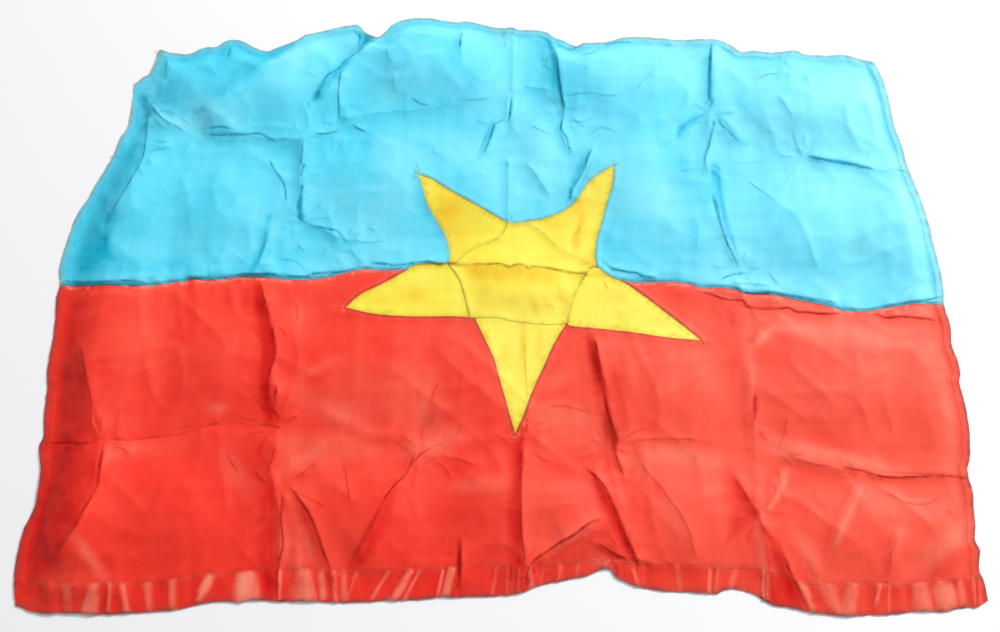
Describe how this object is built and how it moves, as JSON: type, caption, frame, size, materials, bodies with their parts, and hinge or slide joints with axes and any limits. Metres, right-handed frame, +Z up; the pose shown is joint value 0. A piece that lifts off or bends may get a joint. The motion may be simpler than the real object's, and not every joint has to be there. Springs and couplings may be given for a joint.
{
  "type": "cloth flag",
  "caption": "Worn cloth flag, light blue over red with a pieced yellow star, lying open and creased, with narrow side hems and a wide turned near hem.",
  "frame": {"origin": "middle of the flag's footprint, on the surface that it lies on", "axes": "+X along the wide near hem, +Y from the red half towards the far edge of the blue half, +Z up"},
  "size_m": [0.8446, 0.5912, 0.0183],
  "materials": {
    "blue_cloth": "thin plain weave with a soft sheen, tan-grey dirt along its edges",
    "red_cloth": "thin plain weave with a soft sheen, satin-bright wide hem, dull stains",
    "yellow_cloth": "thin plain weave with a soft sheen, browned along its seams"
  },
  "bodies": {
    "root": {"blue_panel": "blue_cloth", "red_panel": "red_cloth", "star_center": "yellow_cloth", "star_point_far_left": "yellow_cloth", "star_point_far_right": "yellow_cloth", "star_point_right": "yellow_cloth", "star_point_near": "yellow_cloth", "star_point_left": "yellow_cloth"}
  },
  "joints": []
}
